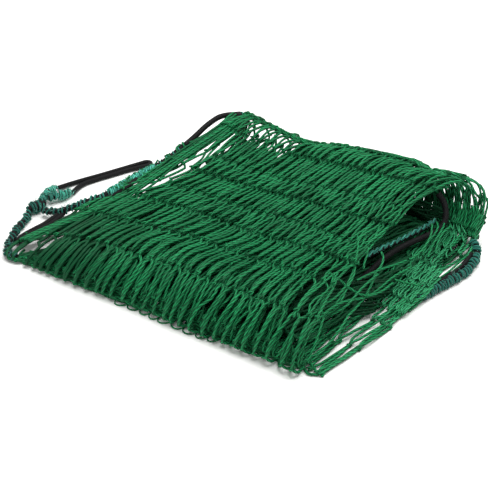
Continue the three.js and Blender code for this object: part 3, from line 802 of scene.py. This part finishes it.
# rows of the outer turn as seen: where each lies, and how far it stands over the next band
outerRows = [2, 40, 74, 105, 136, 167, 198, 228, 257, 286, 315, 350, 375, 404, 431, 470, 515, 560, 577]
outerStands = [0.6] * 10 + [1.0, 0.15, 1.0, 0.3, 1.0, 0.9, 1.0, 0.4, 0.3]
# rows as seen or run (first, end and pitch of the rows, mm along), part (shares across), depth inside
# the solids' sheet and jitter in mm, width of the flat sheet in m
netTurns = {
    "net_outer": dict(rows=outerRows, stands=outerStands, depth=0.6, twine=fineTwine, jitter=0.7,
                      knot=knotForm),
    "net_second": dict(run=(0, 577, 30.5), depth=3.4, twine=plainTwine, jitter=1.2, knot=lumpForm),
    "net_third": dict(run=(18, 577, 30.5), depth=6.0, twine=plainTwine, jitter=1.2,
                      gaps=[(0.88, 9, -9, 215)]),
    "net_bend": dict(run=(130, 300, 31), part=(0.5, 2), depth=8.6, twine=plainTwine, jitter=1.6, width=0.14),
    "net_back": dict(run=(187, 345, 31), depth=11.5, twine=denseTwine, jitter=1.6),
    "net_back_inside": dict(run=(228, 330, 31), depth=15.0, twine=denseTwine, jitter=1.8),
    "net_heap": dict(run=(92, 260, 29), part=(0.8, 1.03), depth=5.0, twine=heapTwine, jitter=1.0,
                     width=0.08),
    "net_heap_top": dict(run=(105, 250, 27), part=(0.84, 0.99), depth=8.0, twine=heapTwine, jitter=1.0,
                         width=0.08),
    "net_bulge": dict(run=(190, 300, 25), part=(0.87, 2), depth=2.2, twine=slackTwine, jitter=1.7,
                      knot=lumpForm, width=0.05),
    "net_under": dict(run=(318, 520, 31), part=(0.08, 0.8), depth=12.0, twine=coarseTwine, jitter=1.8,
                      width=0.2),
    "net_front": dict(run=(455, 577, 30), depth=8.8, twine=plainTwine, jitter=1.6),
    "net_inner": dict(run=(outerEnd, sheetEnd, 31), depth=0.0, twine=coarseTwine, jitter=1.6, width=0.25),
}
# open places: shares across from and to, mm along from and to, one chain kept in how many
outerGaps = [
    (0.13, 0.17, 380, 425, 2),  # windows beside the left border
    (0.965, 9, 165, 200),  # edge of the bend
    (-9, 0.34, 205, 275, 3),  # thin back wall at the left corner
]
nestedGaps = [
    (-9, 0.135, 500, 560),  # slots at the left corner
    (0.02, 0.36, 215, 312),  # thin back wall
    (0.91, 9, -9, 100),  # open border on the floor
    (0.9, 9, 430, 540),  # open right edge by the front
    (0.945, 9, 160, 205),  # edge of the bend
] + [(x - 0.008, x + 0.008, 505, 560) for x in frontPartings]
closeGaps = [(-9, 0.15, 325, 448), (0.96, 9, 256, 300)]  # left border, right end of the back edge
deepGaps = [(-9, 0.2, 325, 448), (0.87, 9, 256, 440)]  # wider further in


def inGap(column, along, chains, left, right, start, end, keptOneIn=None):
    inside = (column > left) & (column < right) & (along > start) & (along < end)
    return inside & (chains % keptOneIn > 0) if keptOneIn else inside


def addNet(name, parts):
    return addPiece(name, parts, greenTwine, ["net"])


sheets = []
for number, (name, turn) in enumerate(netTurns.items()):
    depth = turn["depth"]
    rows = np.arange(*turn["run"]) if "run" in turn else turn["rows"]
    knots, begin, finish, chains = weave(
        rows, turn.get("stands", np.ones(len(rows))), turn["twine"], turn["jitter"], 1.3 * number,
        float(depth < nestedFrom))
    column, along = (begin[:, 0] + finish[:, 0]) / 2, (begin[:, 1] + finish[:, 1]) / 2
    left, right = turn.get("part", (-9, 9))
    kept = (column > left) & (column < right)
    gaps = outerGaps
    if depth > nestedFrom:  # one layer alone shows its meshes there
        gaps = nestedGaps + (closeGaps if depth < closeTo else deepGaps) + turn.get("gaps", [])
    for gap in gaps:
        kept &= ~inGap(column, along, chains, *gap)
    begin, finish = begin[kept], finish[kept]
    twines = addNet(name + "_twines", [netTwines(begin, finish, turn["twine"], depth)])
    tied = []
    if "knot" in turn:
        ends = {tuple(end) for end in np.vstack([begin, finish])}
        knots = np.array([knot for knot in knots if tuple(knot) in ends])
        tied = [addNet(name + "_knots", [netKnots(knots, turn["knot"], depth)])]
    sheets.append((twines, turn.get("width", packWidth), float(rows[-1] - rows[0]) * mm, tied))

# single twines: the border mesh on the floor, the strays at the right end, loops and hem along the front
looseStep = 2.5  # mm between the rings
strayKnots = [(122.2, -19.1, 40.9), (118.4, -49, 44.6), (127.6, -43.9, 35.2), (139.1, -30.1, 22.9),
              (127, -80.8, 35.8), (131, -81.4, 31.7)]  # where strays meet
tieTop, tieEdge, tieMiddle, tieInner, tieFront, tieLow = strayKnots
cornerTie = (147.1, -111.5, 1.4)  # where the border twines meet at the front right corner
looseTwines = {
    "net_border": {"twine": 1.1, "tone": 0.5, "runs": [
        [cornerTie, (150, -101.4, 1.2), (151.6, -77.3, 1.2), (155.6, -52.6, 1.2), (158.8, -18.4, 1.2),
         (160.6, 8.8, 1.6), (163, 34, 2.4)],
        [cornerTie, (141, -114.6, 1.2), (136, -112, 1.2), (130, -104, 1.6)],
        [(147.1, -111.5, 2.2), (138, -106, 2.4), (128, -101, 2.4), (121, -96, 2.2)],
    ]},
    # the strays at the right end are painted lighter as painted light where they hang over shade
    "net_strays": {"twine": 0.95, "tone": 0.95, "runs": [
        [(104.5, 10.6, 44), (114.8, -6.2, 43.1), (119.2, -16.6, 41.9), (121.9, -22.5, 38.8),
         (124.4, -31.2, 36.1), (127, -43.3, 33.5), (129, -52.9, 31.4), (131.2, -68.8, 29.1)],
        [(118.4, 3.2, 43), (121, -1.6, 39.8), (123.7, -10.2, 37), (126, -15.3, 34.4)],
        [(125.1, 13.6, 35.4), (128.2, 12.2, 32), (131.1, 4.2, 28.9), (131.9, -5.7, 28.2),
         (134.8, -15.3, 25.1), (136.8, -25.3, 23), (137.9, -32, 22), (139, -48.6, 20.5),
         (139.3, -58.8, 20.4)],
        [(138.5, 33.6, 21.3), (135.7, 18.1, 24.2), (132.5, 2, 27.5), (129.9, -14.7, 30.3),
         (128.2, -28.8, 32.2)],
        [(138.8, 38.6, 20.8), (142.4, 33.8, 17.2), (142.3, 27.5, 17.3), (140.3, 10.8, 19.2),
         (139.9, -9.6, 19.7), (139.4, -22.5, 20.4), (138.3, -30.9, 21.6)],
        [(141.7, 8.6, 17.7), (148.9, 14.5, 14.1), (160.2, 19.8, 13)],
        [(137.1, 77.1, 34), (141.9, 67.2, 30), (144.2, 48.3, 26), (142.2, 32.2, 24)],
        [(119.3, -17.5, 42), (125.3, -28.5, 37), (128.9, -45.7, 33), (131.6, -61.1, 28), (127.1, -73.6, 24)],
        [(137, -11, 32), (135.4, -32.3, 30), (135.1, -55.1, 26), (129.4, -68.6, 22)],
        [(136, 101, 25.6), (141, 92, 26.6), (143.6, 80, 25.6), (145, 66, 22), (148, 52, 18)],
        [(141, 104, 21), (144.6, 96, 24), (145, 86, 25.4), (146, 74, 22), (150, 62, 17)],
        [(168, 90, 9), (166.4, 76, 8), (164.6, 60, 6), (161, 42, 4.4), (155.6, 20, 3)],
        [(171, 84, 7), (168.4, 70, 7), (166.6, 56, 5.4), (164, 40, 3.6), (159.4, 24, 2.4)],
        [(134, 92, 27.4), (138.6, 86, 27.4), (141, 76, 26), (141.4, 64, 24), (144, 50, 19.6)],
        [tieTop, (120.1, -34, 43), tieEdge, (118.3, -70, 44.4), (117, -89.5, 43), (118.9, -104, 37)],
        [tieMiddle, (128.4, -59.9, 34.3), tieFront, (128.2, -99.2, 34.2), (130.8, -113, 28)],
        [tieMiddle, (134.4, -37.9, 28.2), tieInner, (142.7, -13.9, 19.2), (143.5, 3, 18.3)],
        [(138.6, -35.8, 23.5), (134.8, -49, 27.7), (131.9, -63.1, 30.6), tieLow, (132.3, -99.4, 30),
         (135, -113, 24)],
        [tieEdge, (123.1, -45.8, 40.2), tieMiddle],
        [tieFront, tieLow, (135, -90.8, 27.4), (138.4, -104, 20), (138, -112, 9)],
        [tieEdge, (121.8, -56.1, 41.4), (124.5, -70.2, 38.6), tieFront],
        [(139.3, -58.8, 20.4), (140.6, -68, 18), (140.6, -80, 14), (138.6, -94, 8), (135.6, -105, 3)],
    ]},
}
for x, y, z in strayKnots:
    looseTwines["net_strays"]["runs"].append([
        (x - 1.4, y, z), (x, y + 1.3, z + 0.8), (x + 1.4, y, z), (x, y - 1.3, z + 0.8),
        (x - 1.4, y + 0.3, z + 0.4)])
layerEdges = []
for number in range(10):  # right edges of the layers folded within
    x, y, z = 112 + 0.7 * number, -12 - 4.6 * number + chance.normal(0, 1.8), 15.5 - 0.8 * number
    reach = 21 + chance.normal(0, 2)
    half = (x + 0.5 * reach, y + 0.45 * reach + chance.normal(0, 1.5), z)
    layerEdges.append([(x - 6, y - 8, z + 1.5), (x, y, z), half, (x + reach, y + reach, z - 1),
                       (x + reach + 5, y + reach + 10, z - 3)])
for number in range(10):  # and their folds deep inside
    x = np.linspace(66, 138, 15)
    y, z = 109 + 2 * np.sin(x / 9 + number), 8.5 + 2.5 * number + np.sin(x / 6 + 2.1 * number)
    layerEdges.append(np.stack([x, y, z], -1))
# the edges and folds deep inside are painted darker as painted shade
looseTwines["net_layer_edges"] = {"twine": 1.05, "runs": layerEdges, "tone": -0.4}
overCord = []
arch = [(-1, 0, 1.4), (2, 11, 3.0), (4, 21, 6.4), (5, 30, 7.4), (4, 43, 4.0)]
for number in range(11):  # twines of the heap that lie over the right cord
    x, y = 149 + 1.3 * number, -34 + 3.0 * number + chance.normal(0, 6)
    sway = chance.normal(0, 1.4, 5)
    overCord.append([(x + dx + side, y + dy, z) for (dx, dy, z), side in zip(arch, sway)])
# painted light: these twines of the heap are painted pale, as the heap is
looseTwines["net_over_cord"] = {"twine": 0.9, "tone": 1.3, "runs": overCord}


def hemLine(x):  # y of the front edge on the floor
    return np.interp(x, [-150, -60, 40, 138], [-131, -127, -121, -113])


def hemTwine(number, x, out, spacing, climb, rise):
    y = hemLine(x) + out + spacing * number + 0.8 * np.sin(x / 5 + 2 * number)
    return np.stack([x, y, 1.3 + climb * number + rise * np.sin(x / 7 + number)], -1)


frontFoot = []
for number in range(58):  # front edge of the lowest layer
    x0 = -146 + 4.85 * number
    y0 = hemLine(x0) + chance.normal(0, 0.8)
    x1 = x0 + (4.5 if number % 2 else -4.5) + chance.normal(0, 0.8)
    reach = np.interp(x0, [-122, -112], [0.35, 1.0])
    frontFoot.append([(x0, y0, 1.3), (x0 + 0.2 * (x1 - x0), y0 + 9 * reach, 1.5),
                      (x0 + 0.8 * (x1 - x0), y0 + 22 * reach, 1.6), (x1, y0 + 34 * reach, 1.4)])
for number in range(7):  # hem twines along it
    x = np.linspace(-148 + 3 * number, -20 + 14 * number, 26)
    frontFoot.append(hemTwine(number, x, -1.5, 0.7, 0.9, 0.7))
for number in range(8):  # and on to the right corner
    x = np.linspace(36 - 2 * number, 137 - number, 24)
    frontFoot.append(hemTwine(number, x, 0.5, 1.2, 0.7, 0.6))
looseTwines["net_front_foot"] = {"twine": 1.1, "runs": frontFoot}
loopFeet = [(-37.7, -128), (-25.5, -126.6), (-13.4, -125.5), (-3.5, -125.8), (5.9, -126.4),
            (17.6, -124.5), (30.1, -125.1), (42.3, -124.2), (53, -122.7), (61.5, -121.2)]
frontLoops = []
for (x0, y0), (x1, y1) in zip(loopFeet[:-1], loopFeet[1:]):
    half = (x1 - x0) / 2
    frontLoops.append([
        (x0 - 0.3 * half, y0 + 11, 1.6), (x0 - 0.2 * half, y0 + 4, 1.2), (x0 + 0.5 * half, y0 - 3.4, 0.7),
        (x0 + 1.5 * half, y1 - 3.4, 0.7), (x1 + 0.2 * half, y1 + 4, 1.2), (x1 + 0.3 * half, y1 + 11, 1.6)])
looseTwines["net_front_loops"] = {"twine": 0.6, "runs": frontLoops}

edgeTwines = []
borderLine = cordLine(routes["border_cord_top"])
for number in range(6):  # edge meshes drawn out along the border cord
    cut = slice(int((0.44 + 0.06 * number) * len(borderLine[0])), None)
    path, out = helixRound(*[values[cut] for values in borderLine], np.full(2, 3.6 + 0.5 * (number % 2)),
                           70 + 12 * number, 50, 0.4, 0.4 + 0.5 * number)
    edgeTwines.append(twineTube(path, out, 1.0))
bunchAlong = np.linspace(296, 528, 110)
*_, left, right = runsAt(bunchAlong)
for number in range(10):  # bunched along the left edge of the top
    inset = 1.0 + 1.35 * number + 1.3 * np.sin(bunchAlong / 24 + 1.7 * number)
    inset = inset - 4 + 4 * rampUp(bunchAlong, 455, 40)
    point, _, _, normal = sheetFrame(inset / (right - left), bunchAlong)
    lift = 1.2 * np.sin(bunchAlong / 17 + 2.3 * number)
    edgeTwines.append(twineTube(point + normal * lift[:, None], normal, 1.05))
backAcross = np.linspace(0.01, 0.95, 90)
for number in range(6):  # and along the back edge
    turned = 11 * backAcross + 1.05 * number
    backAlong = backEdge - 5 * backAcross + 2.6 * np.sin(turned)
    lift = 0.8 - 1.5 * np.cos(turned) + backSag(backAcross, backAlong)
    point, _, _, normal = sheetFrame(backAcross, backAlong)
    edgeTwines.append(twineTube(point + normal * lift[:, None], normal, 1.0))
singles = [addNet("net_edge_twines", edgeTwines)]
for name, group in looseTwines.items():
    parts = []
    for run in group["runs"]:
        line, ups, _ = cordLine(run, looseStep, group["twine"])
        tone = np.full(1, group["tone"]) if "tone" in group else None
        parts.append(twineTube(line, ups, group["twine"], tone))
    singles.append(addNet(name, parts))
for twines, width, length, tied in sheets:
    tied = tied + (singles if twines.name.startswith("net_outer") else [])
print("net woven")
